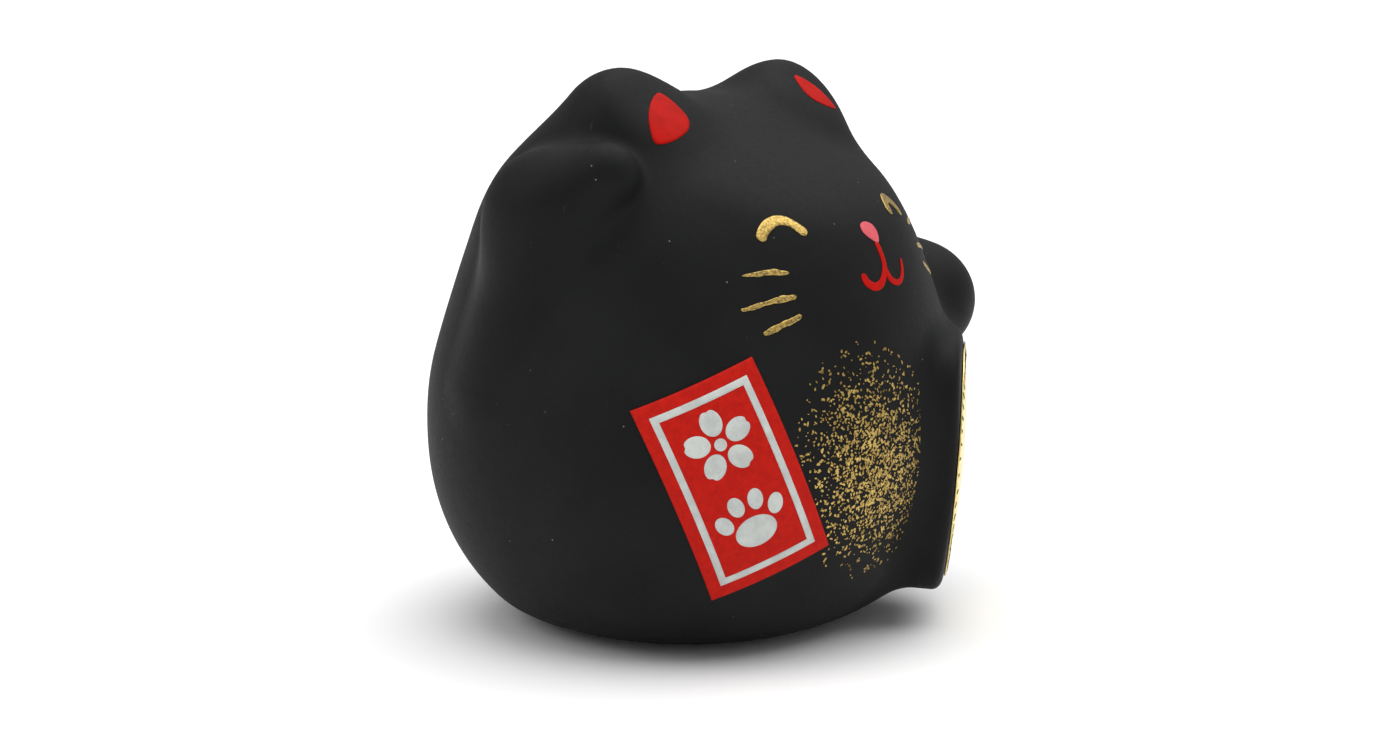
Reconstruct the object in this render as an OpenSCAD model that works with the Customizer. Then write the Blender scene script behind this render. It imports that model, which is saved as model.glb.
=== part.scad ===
// Beckoning cat figurine: a hollow slip-cast ceramic cat with one paw raised,
// the other paw on an oval coin tablet, a paper fortune label on its side,
// a painted face and gold flecks sprayed on its belly.
// +Z is up, the cat looks along -Y, and the origin is the middle of its base.

/* [Body] */
// Width of the belly
belly_width = 69.8; // [68:0.2:71]
// Depth of the belly from front to back
belly_depth = 65.4; // [64:0.2:67]
// Height of the oval that the belly follows
belly_height = 63.2; // [62:0.2:65]
// Height of the belly oval's middle above the base
belly_middle = 25.8; // [25:0.1:26]
// Thickness of the cast wall
wall = 3; // [2.4:0.1:3.6]
// Diameter of the casting vent in the base
vent_width = 8; // [6:0.5:10]

/* [Head] */
// Width of the head oval
head_width = 56; // [55:0.5:58]
// Depth of the head oval
head_depth = 46.2; // [45:0.2:47]
// Height of the head oval's middle above the base
head_middle = 50.3; // [49.5:0.1:50.8]
// Distance between the two ear tips
ear_spread = 31.6; // [30:0.2:32.6]
// Height of the middle of the rounded ear tip
ear_tip_height = 64.1; // [63.4:0.1:64.4]
// Radius of the rounded ear tip
ear_tip_radius = 7.4; // [7:0.1:7.8]

/* [Arms] */
// Radius of the raised paw at its tip
paw_radius = 3.9; // [3.5:0.1:4.5]
// Radius of the raised wrist
wrist_radius = 6.8; // [6.5:0.1:7.2]
// Radius of the paw that rests on the tablet
rest_paw_radius = 8; // [7.4:0.1:8.2]

/* [Coin tablet] */
// Width of the tablet
tablet_width = 24; // [20:0.5:26]
// Height of the tablet
tablet_height = 32.6; // [30:0.2:34]
// Turn of the tablet from straight ahead to the cat's left, in degrees
tablet_turn = 33; // [30:1:35]
// Distance of the tablet's face from the upright axis
tablet_reach = 34.2; // [33.8:0.1:34.8]

/* [Fortune label] */
// Width of the paper label
label_width = 15.5; // [14:0.5:16.5]
// Length of the paper label
label_length = 25.5; // [23:0.5:26]
// Turn of the label from straight ahead to the cat's right, in degrees
label_turn = 37; // [35:1:39]
// Lean of the label's top towards the cat's right, in degrees
label_lean = 23; // [20:1:26]

/* [Painted face] */
// Distance from the middle of the face to the middle of an eye
eye_offset = 12.2; // [11.5:0.1:13]
// Height of the eyes
eye_height = 52.1; // [51:0.1:53]
// Width of a painted eye stroke
eye_stroke = 1.6; // [1.2:0.1:2.2]
// Width of a painted mouth stroke
mouth_stroke = 1.1; // [0.8:0.1:1.4]
// Width of a painted whisker at its widest
whisker_stroke = 1; // [0.8:0.1:1.4]

/* [Gold flecks] */
// Number of gold flecks
fleck_count = 120; // [40:10:160]
// Width of the smallest fleck
fleck_width = 0.5; // [0.4:0.05:0.8]

/* [Hidden] */

clay = "#2b2b2b";
gold = "#c9a24a";
foil_gold = "#ead98a";
paint_red = "#c8190a";
paint_pink = "#e86e76";
print_white = "#e8e8e8";

// Ovals of the body: middles and half sizes
belly_at = [0, 0.6, belly_middle];
belly_half = [belly_width / 2, belly_depth / 2, belly_height / 2];
belly_power = 2.2;
head_at = [0, 1.2, head_middle];
head_half = [head_width / 2, head_depth / 2, 17.6];
face_at = [0, -1, 41.9];
face_half = [19.3, 26.4, 17.1];

// Ears lean outwards from a broad root, and a slant cuts their fronts flat
ear_root = [15.5, 4.3, 52.5];
ear_root_radius = 10.6;
ear_tip = [ear_spread / 2, -0.8, ear_tip_height];
ear_front = [-4.4, 69, 36];
brow_front = [-8.5, 64, 47];

// Widths of the soft hollows where one form runs into the next
neck_blend = 12.3;
face_blend = 9;
ear_blend = 7;
ear_rim = 2;
brow_rim = 2;
base_rim = 4;
elbow_blend = 7;
paw_blend = 4;

// The raised arm runs from the shoulder to the wrist and on to the paw's tip
shoulder_at = [-25.2, 6.6, 32];
shoulder_radius = 8.8;
wrist_at = [-26.2, 1.2, 53.8];
paw_at = [-26.2, -7.6, 59.4];

// The resting arm runs forward to the paw over the top of the tablet
rest_shoulder_at = [27, 0, 43];
rest_shoulder_radius = 8;
rest_paw_at = [29.2, -13, 39.2];
rest_paw_half = [rest_paw_radius, rest_paw_radius, rest_paw_radius - 0.9];

tail_at = [-5, 28.5, 9];
tail_tip = [2.5, 31.5, 15];
tail_radius = 3.6;
tail_tip_radius = 3;

// The tablet's face leans in a little at the bottom and is slightly domed
tablet_middle = 20.8;
tablet_lean = -3.8;
tablet_depth = 14;
tablet_dome = 110;
tablet_rim = 1.2;
tablet_power = 4;

seat_gap = 0.05;
seat_rim = 1.4;
foil_room = 0.45;
paint_gap = 0.06;
paint_thick = 0.15;
paper_thick = 0.2;
tiny = 0.000001;
halvings = 20;

// The casting vent sits behind the middle of the base
foot_radius = 13;
vent_behind = 6.5;
shell_centre = [0, 1, 28];
around_steps = 60;
down_steps = 30;
inside_steps = 12;

// ---- forms: below zero inside, zero on the skin ----

function oval(p, middle, half) =
    let (q = [for (i = [0 : 2]) (p[i] - middle[i]) / half[i]])
    let (slope = norm([for (i = [0 : 2]) q[i] / half[i]]))
    norm(q) * (norm(q) - 1) / max(slope, tiny);

// An oval with fuller flanks when power is above 2
function full_oval(p, middle, half, power) =
    let (q = [for (i = [0 : 2]) abs(p[i] - middle[i]) / half[i]])
    let (size = pow(pow(q.x, power) + pow(q.y, power) + pow(q.z, power), 1 / power))
    let (slope = norm([for (i = [0 : 2]) q[i] / half[i]]) / max(norm(q), tiny))
    (size - 1) / max(slope, tiny);

// A rounded stick whose radius changes from one end to the other
function stick(p, from, to, from_radius, to_radius) =
    let (line = to - from, long = norm(line), q = p - from, along = q * line / long)
    let (out = norm(q - line * along / long), fall = (from_radius - to_radius) / long)
    let (t = max(0, min(1, (along - out * fall / sqrt(1 - fall * fall)) / long)))
    norm(q - t * line) - from_radius - t * (to_radius - from_radius);

// Joins two forms with a soft hollow, and trims one by another with a soft edge
function join(a, b, soft) =
    let (near = max(soft - abs(a - b), 0) / soft)
    min(a, b) - near * near * soft / 4;
function trim(a, b, soft) = -join(-a, -b, soft);

// A slanted plane given by [y, z, angle up from level]
function slant(p, plane) =
    (p.z - plane[1]) * sin(plane[2]) - (p.y - plane[0]) * cos(plane[2]);

function ear(p) =
    let (q = [abs(p.x), p.y, p.z])
    let (horn = stick(q, ear_root, ear_tip, ear_root_radius, ear_tip_radius))
    trim(horn, slant(p, ear_front), ear_rim);

function torso(p) =
    let (belly = full_oval(p, belly_at, belly_half, belly_power))
    let (head = trim(oval(p, head_at, head_half), slant(p, brow_front), brow_rim))
    let (bust = join(join(belly, head, neck_blend), ear(p), ear_blend))
    trim(join(bust, oval(p, face_at, face_half), face_blend), -p.z, base_rim);
cat_form = function (p) torso(p);

function raised_arm(p) =
    join(
        stick(p, shoulder_at, wrist_at, shoulder_radius, wrist_radius),
        stick(p, wrist_at, paw_at, wrist_radius, paw_radius),
        elbow_blend
    );

function rest_arm(p) =
    join(
        oval(p, rest_paw_at, rest_paw_half),
        stick(p, rest_shoulder_at, rest_paw_at, rest_shoulder_radius, rest_paw_radius - 0.8),
        paw_blend
    );

function tail_form(p) = stick(p, tail_at, tail_tip, tail_radius, tail_tip_radius);

// The tablet's own directions: across, up and out of its face
tablet_across = [cos(tablet_turn), sin(tablet_turn), 0];
tablet_level = [sin(tablet_turn), -cos(tablet_turn), 0];
tablet_out = tablet_level * cos(tablet_lean) + [0, 0, sin(tablet_lean)];
tablet_up = [0, 0, cos(tablet_lean)] - tablet_level * sin(tablet_lean);
tablet_at = tablet_level * tablet_reach + [0, 0, tablet_middle];

function tablet(p) =
    let (q = p - tablet_at)
    let (a = abs(q * tablet_across) / tablet_width * 2)
    let (b = abs(q * tablet_up) / tablet_height * 2)
    let (size = pow(pow(a, tablet_power) + pow(b, tablet_power), 1 / tablet_power))
    let (edge = (size - 1) * tablet_width / 2)
    let (face = q * tablet_out + tablet_sink(q * tablet_across, q * tablet_up))
    trim(trim(edge, face, tablet_rim), -tablet_depth - q * tablet_out, 1);

tablet_form = function (p) tablet(p);

// How far the domed face falls away from its middle
function tablet_sink(a, b) = (a * a + b * b) / (2 * tablet_dome);

// ---- skins: points found along rays by halving ----

function reach(form, from, ray, level, near, far, left) =
    let (mid = (near + far) / 2)
    left == 0 ? mid
    : form(from + mid * ray) < level ? reach(form, from, ray, level, mid, far, left - 1)
    : reach(form, from, ray, level, near, mid, left - 1);

function skin(form, from, ray, level = 0) =
    from + ray * reach(form, from, ray, level, 0, 60, halvings);

function heading(around, down) = [sin(down) * cos(around), sin(down) * sin(around), cos(down)];

function ring(form, from, down, steps, level = 0) =
    [for (i = [0 : steps - 1]) skin(form, from, heading(360 * i / steps, down), level)];

function flat_ring(radius, behind, z, steps) =
    [for (i = [0 : steps - 1]) let (turn = 360 * i / steps)
        [radius * cos(turn), behind + radius * sin(turn), z]];

// ---- solids from rows of points ----

// A closed solid from a first point, rings below it, and a last point
module ringed_solid(first, rings, last) {
    steps = len(rings[0]);
    rows = len(rings);
    end = rows * steps + 1;
    points = [first, for (row = rings) each row, last];
    caps = [for (i = [0 : steps - 1]) each
        let (k = (i + 1) % steps, low = (rows - 1) * steps + 1)
        [[0, 1 + k, 1 + i], [end, low + i, low + k]]];
    sides = [for (j = [0 : rows - 2], i = [0 : steps - 1]) each
        let (k = (i + 1) % steps, a = j * steps + 1, b = a + steps)
        [[a + i, a + k, b + k], [a + i, b + k, b + i]]];
    polyhedron(points, concat(caps, sides));
}

// A solid all round a middle point, seen from which its whole skin is in sight
module lump(form, from, around = 32, down = 20) {
    rings = [for (j = [1 : down - 1]) ring(form, from, 180 * j / down, around)];
    ringed_solid(skin(form, from, [0, 0, 1]), rings, skin(form, from, [0, 0, -1]));
}

// A thin solid from rows of [under, over] point pairs; a loop joins its ends
module sheet(rows, loop = false) {
    long = len(rows);
    wide = len(rows[0]);
    runs = loop ? long : long - 1;
    points = [for (row = rows, pair = row) each pair];
    function at(j, i, over) = ((j % long) * wide + i) * 2 + over;
    faces = [for (j = [0 : runs - 1], i = [0 : wide - 2]) each [
        [at(j, i, 1), at(j, i + 1, 1), at(j + 1, i + 1, 1)],
        [at(j, i, 1), at(j + 1, i + 1, 1), at(j + 1, i, 1)],
        [at(j, i, 0), at(j + 1, i + 1, 0), at(j, i + 1, 0)],
        [at(j, i, 0), at(j + 1, i, 0), at(j + 1, i + 1, 0)]
    ]];
    edges = [for (j = [0 : runs - 1]) each [
        [at(j, 0, 0), at(j, 0, 1), at(j + 1, 0, 1)],
        [at(j, 0, 0), at(j + 1, 0, 1), at(j + 1, 0, 0)],
        [at(j, wide - 1, 0), at(j + 1, wide - 1, 1), at(j, wide - 1, 1)],
        [at(j, wide - 1, 0), at(j + 1, wide - 1, 0), at(j + 1, wide - 1, 1)]
    ]];
    ends = loop ? [] : [for (i = [0 : wide - 2]) each [
        [at(0, i, 0), at(0, i + 1, 1), at(0, i, 1)],
        [at(0, i, 0), at(0, i + 1, 0), at(0, i + 1, 1)],
        [at(long - 1, i, 0), at(long - 1, i, 1), at(long - 1, i + 1, 1)],
        [at(long - 1, i, 0), at(long - 1, i + 1, 1), at(long - 1, i + 1, 0)]
    ]];
    polyhedron(points, concat(faces, edges, ends));
}

// ---- places on the skin ----

// A patch frame: [start point, across, up, out], where out meets the skin
face_frame = [[0, 0, 0], [1, 0, 0], [0, 0, 1], [0, -1, 0]];
belly_frame = [[0, 0, 24.5], [1, 0, 0], [0, 0, 1], [0, -1, 0]];
label_out = [-sin(label_turn), -cos(label_turn), 0];
label_side = [cos(label_turn), -sin(label_turn), 0];
label_frame = [
    [-4.2, 0, 24],
    label_side * cos(label_lean) + [0, 0, sin(label_lean)],
    [0, 0, cos(label_lean)] - label_side * sin(label_lean),
    label_out
];

// The [under, over] pair of skin points at a place on a patch
function stuck(frame, spot, under, over) =
    let (from = frame[0] + spot.x * frame[1] + spot.y * frame[2])
    [skin(cat_form, from, frame[3], under), skin(cat_form, from, frame[3], over)];

function mix(a, b, t) = a + (b - a) * t;

// A ribbon between a list of left edge spots and a list of right edge spots
function ribbon(frame, left, right, across, under, over) =
    [for (j = [0 : len(left) - 1])
        [for (i = [0 : across]) stuck(frame, mix(left[j], right[j], i / across), under, over)]];

// The direction of a path at one of its spots
function along(path, j) =
    let (step = path[min(j + 1, len(path) - 1)] - path[max(j - 1, 0)])
    step / norm(step);
function beside(step) = [-step.y, step.x];

// A painted stroke along a path, with a half width at each spot
module stroke(frame, path, half_widths, across = 2) {
    left = [for (j = [0 : len(path) - 1]) path[j] - half_widths[j] * beside(along(path, j))];
    right = [for (j = [0 : len(path) - 1]) path[j] + half_widths[j] * beside(along(path, j))];
    sheet(ribbon(frame, left, right, across, paint_gap, paint_gap + paint_thick));
}

// Half widths of a brush stroke with round ends, and of one with pointed ends
function round_ends(half, count) =
    [for (j = [0 : count - 1]) half * sqrt(max(0.12, 1 - pow(abs(2 * j / (count - 1) - 1), 6)))];
function pointed_ends(half, count) =
    [for (j = [0 : count - 1]) half * max(0.12, sin(180 * pow(j / (count - 1), 0.7)))];

function arc(middle, radius, from, to, count) =
    [for (j = [0 : count - 1]) let (a = mix(from, to, j / (count - 1)))
        middle + radius * [cos(a), sin(a)]];

function straight(from, to, count) = [for (j = [0 : count - 1]) mix(from, to, j / (count - 1))];

// An oval blot of print or paint, turned by an angle
module blot(frame, middle, half, turn, under, over, count = 8) {
    edge = [for (j = [0 : count]) let (a = 8 + 164 * j / count) [half.x * cos(a), half.y * sin(a)]];
    function turned(spot) = middle + [
        spot.x * cos(turn) - spot.y * sin(turn),
        spot.x * sin(turn) + spot.y * cos(turn)
    ];
    left = [for (spot = edge) turned([spot.x, -spot.y])];
    right = [for (spot = edge) turned(spot)];
    sheet(ribbon(frame, right, left, 4, under, over));
}

// ---- sub-parts ----

module body_shell() {
    vent = vent_width / 2;
    foot_down = 180 - atan(foot_radius / shell_centre.z);
    vent_down = 180 - atan(vent / (shell_centre.z - wall));
    outer = [for (j = [1 : down_steps - 1])
        ring(cat_form, shell_centre, foot_down * j / down_steps, around_steps)];
    inner = [for (j = [inside_steps - 1 : -1 : 1])
        ring(cat_form, shell_centre, vent_down * j / inside_steps, around_steps, -wall)];
    base = [
        flat_ring(foot_radius, 0, 0, around_steps),
        flat_ring(vent, vent_behind, 0, around_steps),
        flat_ring(vent, vent_behind, wall, around_steps)
    ];
    color(clay)
        ringed_solid(
            skin(cat_form, shell_centre, [0, 0, 1]),
            concat(outer, base, inner),
            skin(cat_form, shell_centre, [0, 0, 1], -wall)
        );
}

module beckoning_arm() {
    outside = function (p) trim(raised_arm(p), seat_gap - torso(p), seat_rim);
    color(clay) lump(outside, [-30, 0.5, 53], 50, 36);
}

module resting_arm() {
    seat = function (p) max(seat_gap - torso(p), foil_room - tablet(p));
    outside = function (p) trim(rest_arm(p), seat(p), seat_rim);
    color(clay) lump(outside, [31.2, -14.8, 40], 50, 36);
}

module tail() {
    outside = function (p) trim(tail_form(p), seat_gap - torso(p), seat_rim);
    color(clay) lump(outside, [-1.2, 32.2, 12.3], 28, 18);
}

// The tablet's face and rim come from its own form, and its back follows the belly
module coin_tablet() {
    steps = 60;
    over = [0.2, 0.4, 0.6, 0.75, 0.86, 0.93, 0.97, 0.99];
    under = [1, 0.93, 0.8, 0.6, 0.4, 0.2];
    function edge(turn, size) =
        let (a = tablet_width / 2 * sign(cos(turn)) * pow(abs(cos(turn)), 2 / tablet_power))
        let (b = tablet_height / 2 * sign(sin(turn)) * pow(abs(sin(turn)), 2 / tablet_power))
        [size * a, size * b];
    function place(spot, lift) =
        tablet_at + spot.x * tablet_across + spot.y * tablet_up + lift * tablet_out;
    function face_point(spot) = skin(tablet_form, place(spot, -5), tablet_out);
    function back_point(spot) = skin(cat_form, place(spot, -18), tablet_out, seat_gap);
    function side_point(spot) =
        place(spot, -tablet_sink(spot.x, spot.y) - tablet_rim);
    turns = [for (i = [0 : steps - 1]) 360 * i / steps];
    rings = concat(
        [for (size = over) [for (turn = turns) face_point(edge(turn, size))]],
        [[for (turn = turns) side_point(edge(turn, 1))]],
        [for (size = under) [for (turn = turns) back_point(edge(turn, size))]]
    );
    color(clay) ringed_solid(face_point([0, 0]), rings, back_point([0, 0]));
}

module coin_foil() {
    half = [tablet_width / 2 - 1.6, tablet_height / 2 - 1.8];
    rows = 20;
    function place(a, b, lift) =
        tablet_at + a * tablet_across + b * tablet_up + (lift - tablet_sink(a, b)) * tablet_out;
    color(foil_gold)
        sheet([for (j = [0 : rows])
            let (t = 5 + 170 * j / rows, b = half.y * cos(t), w = half.x * sin(t))
            [for (i = [0 : 6]) let (a = mix(-w, w, i / 6))
                [place(a, b, seat_gap), place(a, b, seat_gap + paper_thick)]]]);
}

module coin_foil_border() {
    half = [tablet_width / 2 - 2.6, tablet_height / 2 - 2.8];
    count = 44;
    color("dimgray")
        for (j = [0 : count - 1]) {
            a = half.x * cos(360 * j / count);
            b = half.y * sin(360 * j / count);
            lift = 2 * seat_gap + paper_thick - tablet_sink(a, b);
            translate(tablet_at + a * tablet_across + b * tablet_up + lift * tablet_out)
                rotate([0, 0, tablet_turn])
                    rotate([90 - tablet_lean, 0, 0])
                        rotate([0, 0, 360 * j / count])
                            translate([-0.6, -0.15, 0])
                                cube([1.2, 0.3, 0.1]);
        }
}

module fortune_label() {
    w = label_width / 2;
    l = label_length / 2;
    left = straight([-w, -l], [-w, l], 15);
    right = straight([w, -l], [w, l], 15);
    color(paint_red)
        sheet(ribbon(label_frame, left, right, 9, paint_gap, paint_gap + paper_thick));
}

print_under = 2 * paint_gap + paper_thick;
print_over = print_under + paint_thick;

module label_frame_print() {
    w = label_width / 2 - 1.6;
    l = label_length / 2 - 1.6;
    line = 0.8;
    steps = 6;
    function box(w, l) = concat(
        [for (j = [0 : steps - 1]) mix([-w, -l], [w, -l], j / steps)],
        [for (j = [0 : 2 * steps - 1]) mix([w, -l], [w, l], j / (2 * steps))],
        [for (j = [0 : steps - 1]) mix([w, l], [-w, l], j / steps)],
        [for (j = [0 : 2 * steps - 1]) mix([-w, l], [-w, -l], j / (2 * steps))]
    );
    outer = box(w, l);
    inner = box(w - line, l - line);
    color(print_white)
        sheet(ribbon(label_frame, inner, outer, 1, print_under, print_over), true);
}

module label_blossom_print() {
    middle = [0, 5.3];
    petal_ring = 2.8;
    color(print_white) {
        for (j = [0 : 4]) {
            turn = 90 + 72 * j;
            blot(label_frame, middle + petal_ring * [cos(turn), sin(turn)], [1.6, 1.3], turn,
                print_under, print_over);
        }
        blot(label_frame, middle, [0.7, 0.7], 0, print_under, print_over);
    }
}

module label_paw_print() {
    middle = [0, -5.5];
    color(print_white) {
        blot(label_frame, middle + [0, -0.9], [2.6, 1.9], 0, print_under, print_over);
        for (toe = [[-3.4, 1.4, 115], [-1.3, 3, 100], [1.3, 3, 80], [3.4, 1.4, 65]])
            blot(label_frame, middle + [toe[0], toe[1]], [1.3, 0.95], toe[2],
                print_under, print_over);
    }
}

// The cat's left half of the face is painted a little higher than its right half
left_rise = [0, 1];

// A rounded triangle of paint on the flat front of an ear; side is -1 or 1
module ear_paint(side, shift) {
    last = 11;
    function half(t) = max(0.2, 2.9 * sin(180 * pow(t, 0.85)));
    function spot(j, edge) = let (t = j / last)
        shift + [side * (19.2 - 8.9 * t + 3.8 * t * t) + edge * half(t), 62.6 + 6 * t];
    left = [for (j = [0 : last]) spot(j, -1)];
    right = [for (j = [0 : last]) spot(j, 1)];
    color(paint_red)
        sheet(ribbon(face_frame, left, right, 4, paint_gap, paint_gap + paint_thick));
}

module right_ear_paint() {
    ear_paint(-1, [0, 0]);
}

module left_ear_paint() {
    ear_paint(1, left_rise);
}

// An arch from its lower, outer end to its inner end
module eye_paint(side, shift) {
    arch = arc([-eye_offset, eye_height - 0.9], 3.3, 168, 25, 13);
    spots = [for (spot = arch) shift + [-side * spot.x, spot.y]];
    path = side < 0 ? spots : [for (j = [len(spots) - 1 : -1 : 0]) spots[j]];
    color(gold) stroke(face_frame, path, round_ends(eye_stroke / 2, 13), 3);
}

module right_eye_paint() {
    eye_paint(-1, [0, 0]);
}

module left_eye_paint() {
    eye_paint(1, left_rise - [1.5, 0]);
}

module nose_paint() {
    color(paint_pink)
        blot(face_frame, [0.4, 51.7], [1.8, 1.4], 125, paint_gap, paint_gap + paint_thick);
}

// One stroke runs down from the nose into the left curl, and one makes the right curl
module mouth_paint() {
    half = mouth_stroke / 2;
    down = straight([0.7, 49.9], [0.5, 47.4], 5);
    curl = arc([-1.9, 47.1], 2.35, -8, -165, 10);
    other = arc([2.9, 47.3], 2.2, -168, 8, 9);
    color(paint_red) {
        stroke(face_frame, concat(down, curl), round_ends(half, 15));
        stroke(face_frame, other, [for (j = [0 : 8]) half * (0.9 - 0.08 * j)]);
    }
}

// Three brush strokes on each cheek, each from its inner to its outer end
whiskers = [
    [[13.4, 47.9], [17.4, 48.2]],
    [[13.6, 45.1], [19.7, 44.1]],
    [[13.5, 42.9], [18.1, 41]]
];

module whisker_paint(side, shift) {
    color(gold)
        for (w = whiskers) {
            from = shift + [side * w[0].x, w[0].y];
            to = shift + [side * w[1].x, w[1].y];
            stroke(face_frame, straight(from, to, 8), pointed_ends(whisker_stroke / 2, 8));
        }
}

module right_whisker_paint() {
    whisker_paint(-1, [0, 0]);
}

module left_whisker_paint() {
    whisker_paint(1, 2 * left_rise);
}

// Six-sided flecks, thickest in the middle of the belly and thinning outwards
module gold_flecks() {
    turns = rands(0, 360, fleck_count, 7);
    grow = rands(0, 0.35, fleck_count, 11);
    slope_step = 0.4;
    color(gold)
        for (j = [0 : fleck_count - 1]) {
            out = sqrt((j + 0.5) / fleck_count);
            turn = 137.5 * j;
            rise = 13.6 * out * sin(turn);
            spot = [-3.4 + 8.8 * out * cos(turn) - 0.15 * rise, rise];
            from = belly_frame[0] + [spot.x, 0, spot.y];
            here = skin(cat_form, from, belly_frame[3], paint_gap);
            right = skin(cat_form, from + [slope_step, 0, 0], belly_frame[3], paint_gap) - here;
            up = skin(cat_form, from + [0, 0, slope_step], belly_frame[3], paint_gap) - here;
            out_way = cross(right, up) / norm(cross(right, up));
            width = fleck_width + grow[j];
            translate(here)
                rotate([0, acos(out_way.z), atan2(out_way.y, out_way.x)])
                    rotate([0, 0, turns[j]])
                        cylinder(h = paint_thick, d = width, $fn = 6);
        }
}

body_shell();
beckoning_arm();
resting_arm();
tail();
coin_tablet();
coin_foil();
coin_foil_border();
fortune_label();
label_frame_print();
label_blossom_print();
label_paw_print();
right_ear_paint();
left_ear_paint();
right_eye_paint();
left_eye_paint();
nose_paint();
mouth_paint();
right_whisker_paint();
left_whisker_paint();
gold_flecks();
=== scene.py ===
import math
import bmesh
import bpy
import numpy as np
from mathutils import Matrix, Vector


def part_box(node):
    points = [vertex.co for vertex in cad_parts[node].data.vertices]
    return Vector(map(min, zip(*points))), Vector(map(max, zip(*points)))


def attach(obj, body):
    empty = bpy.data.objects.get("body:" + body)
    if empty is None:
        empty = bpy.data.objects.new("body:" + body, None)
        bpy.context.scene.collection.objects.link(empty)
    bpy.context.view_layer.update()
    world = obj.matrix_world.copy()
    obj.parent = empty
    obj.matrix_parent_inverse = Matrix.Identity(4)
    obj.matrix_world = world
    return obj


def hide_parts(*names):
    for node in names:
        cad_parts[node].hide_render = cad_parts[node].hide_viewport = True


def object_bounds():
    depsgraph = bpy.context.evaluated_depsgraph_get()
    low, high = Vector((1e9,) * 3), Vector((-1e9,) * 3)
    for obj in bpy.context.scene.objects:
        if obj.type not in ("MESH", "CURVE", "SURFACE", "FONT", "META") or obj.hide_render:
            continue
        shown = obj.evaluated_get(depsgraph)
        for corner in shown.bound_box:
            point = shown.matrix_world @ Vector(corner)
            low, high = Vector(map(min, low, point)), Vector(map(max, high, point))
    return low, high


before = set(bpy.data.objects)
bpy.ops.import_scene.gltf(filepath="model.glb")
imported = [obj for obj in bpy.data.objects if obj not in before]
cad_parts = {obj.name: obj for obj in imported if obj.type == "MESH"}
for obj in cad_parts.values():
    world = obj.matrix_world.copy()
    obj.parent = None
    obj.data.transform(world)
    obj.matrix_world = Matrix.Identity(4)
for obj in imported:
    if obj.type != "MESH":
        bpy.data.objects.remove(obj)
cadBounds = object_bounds()
mm = 0.001
rootBody = "root"


def boxOf(node):  # lowest and highest corner of a CAD node, in millimetres
    low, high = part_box(node)
    return np.array(low) / mm, np.array(high) / mm


# ---- camera ----
camera = {
    "azimuth": -50.2, "elevation": 9.9, "distance": 315, "lens": 62.25, "sensor": 36,
    "aim": (0, 0, 34), "aimRight": 0.09, "aimUp": -2.87,
}


def setCamera():
    turn, lift = math.radians(camera["azimuth"]), math.radians(camera["elevation"])
    back = Vector((math.sin(turn) * math.cos(lift), -math.cos(turn) * math.cos(lift), math.sin(lift)))
    right = (-back).cross(Vector((0, 0, 1))).normalized()
    up = right.cross(-back)
    aim = Vector(camera["aim"]) + right * camera["aimRight"] + up * camera["aimUp"]
    data = bpy.data.cameras.new("studioCamera")
    data.lens, data.sensor_width = camera["lens"], camera["sensor"]
    data.clip_start, data.clip_end = 0.01, 100
    item = bpy.data.objects.new("studioCamera", data)
    item.location = (aim + back * camera["distance"]) * mm
    item.rotation_mode = "QUATERNION"
    item.rotation_quaternion = Matrix((right, up, back)).transposed().to_quaternion()
    bpy.context.scene.collection.objects.link(item)
    bpy.context.scene.camera = item


setCamera()

# ---- forms: below zero inside, zero on the skin ----
belly = {"middle": (0, 0.6, 25.8), "half": (34.9, 32.7, 31.6), "power": 2.2}
head = {"middle": (0, 1.2, 50.3), "half": (28, 23.1, 17.6), "brow": (-8.5, 64, 47), "browRim": 2}
face = {"middle": (0, -1.0, 41.9), "half": (19.3, 26.4, 17.1)}
ears = {"root": (15.5, 4.3, 52.5), "rootRadius": 10.6, "tip": (15.8, -0.8, 64.1), "tipRadius": 7.4,
        "front": (-4.4, 69, 36), "rim": 2}
blends = {"neck": 12.3, "ears": 7, "face": 9, "base": 4, "arm": 2, "paw": 3, "tablet": 2.4, "tail": 3}
beckoning = {"shoulder": (-25.2, 6.6, 32), "shoulderRadius": 8.8, "wrist": (-26.2, 1.2, 53.8),
             "wristRadius": 6.8, "paw": (-26.2, -7.6, 59.4), "pawRadius": 3.9, "blend": 7}
resting = {"shoulder": (27, 0, 43), "shoulderRadius": 8, "paw": (29.2, -13, 39.2),
           "pawHalf": (8, 8, 7.1), "pawEnd": 7.2, "blend": 4}
stubTail = {"root": (-5, 28.5, 9), "rootRadius": 3.6, "tip": (2.5, 31.5, 15), "tipRadius": 3}
coin = {"turn": 33, "reach": 34.2, "middle": 20.8, "lean": -3.8, "width": 24, "height": 32.6,
        "depth": 14, "dome": 110, "rim": 1.2, "power": 4, "room": 2.2, "roomEdge": 3}
casting = {"wall": 3, "ventMiddle": (0, 6.5), "ventRadius": 4, "ventDepth": 6, "ventRim": 0.8,
           "hollowRim": 0.4, "cell": 0.6}


def size(v):
    return np.sqrt((v * v).sum(-1))


def oval(p, middle, half):
    q = (p - np.array(middle)) / np.array(half, float)
    a = size(q)
    return a * (a - 1) / np.maximum(size(q / np.array(half, float)), 1e-9)


def fullOval(p, middle, half, power):  # fuller flanks when power is above 2
    q = np.abs((p - np.array(middle)) / np.array(half, float))
    a = (q ** power).sum(-1) ** (1 / power)
    slope = size(q / np.array(half, float)) / np.maximum(size(q), 1e-9)
    return (a - 1) / np.maximum(slope, 1e-9)


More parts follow.
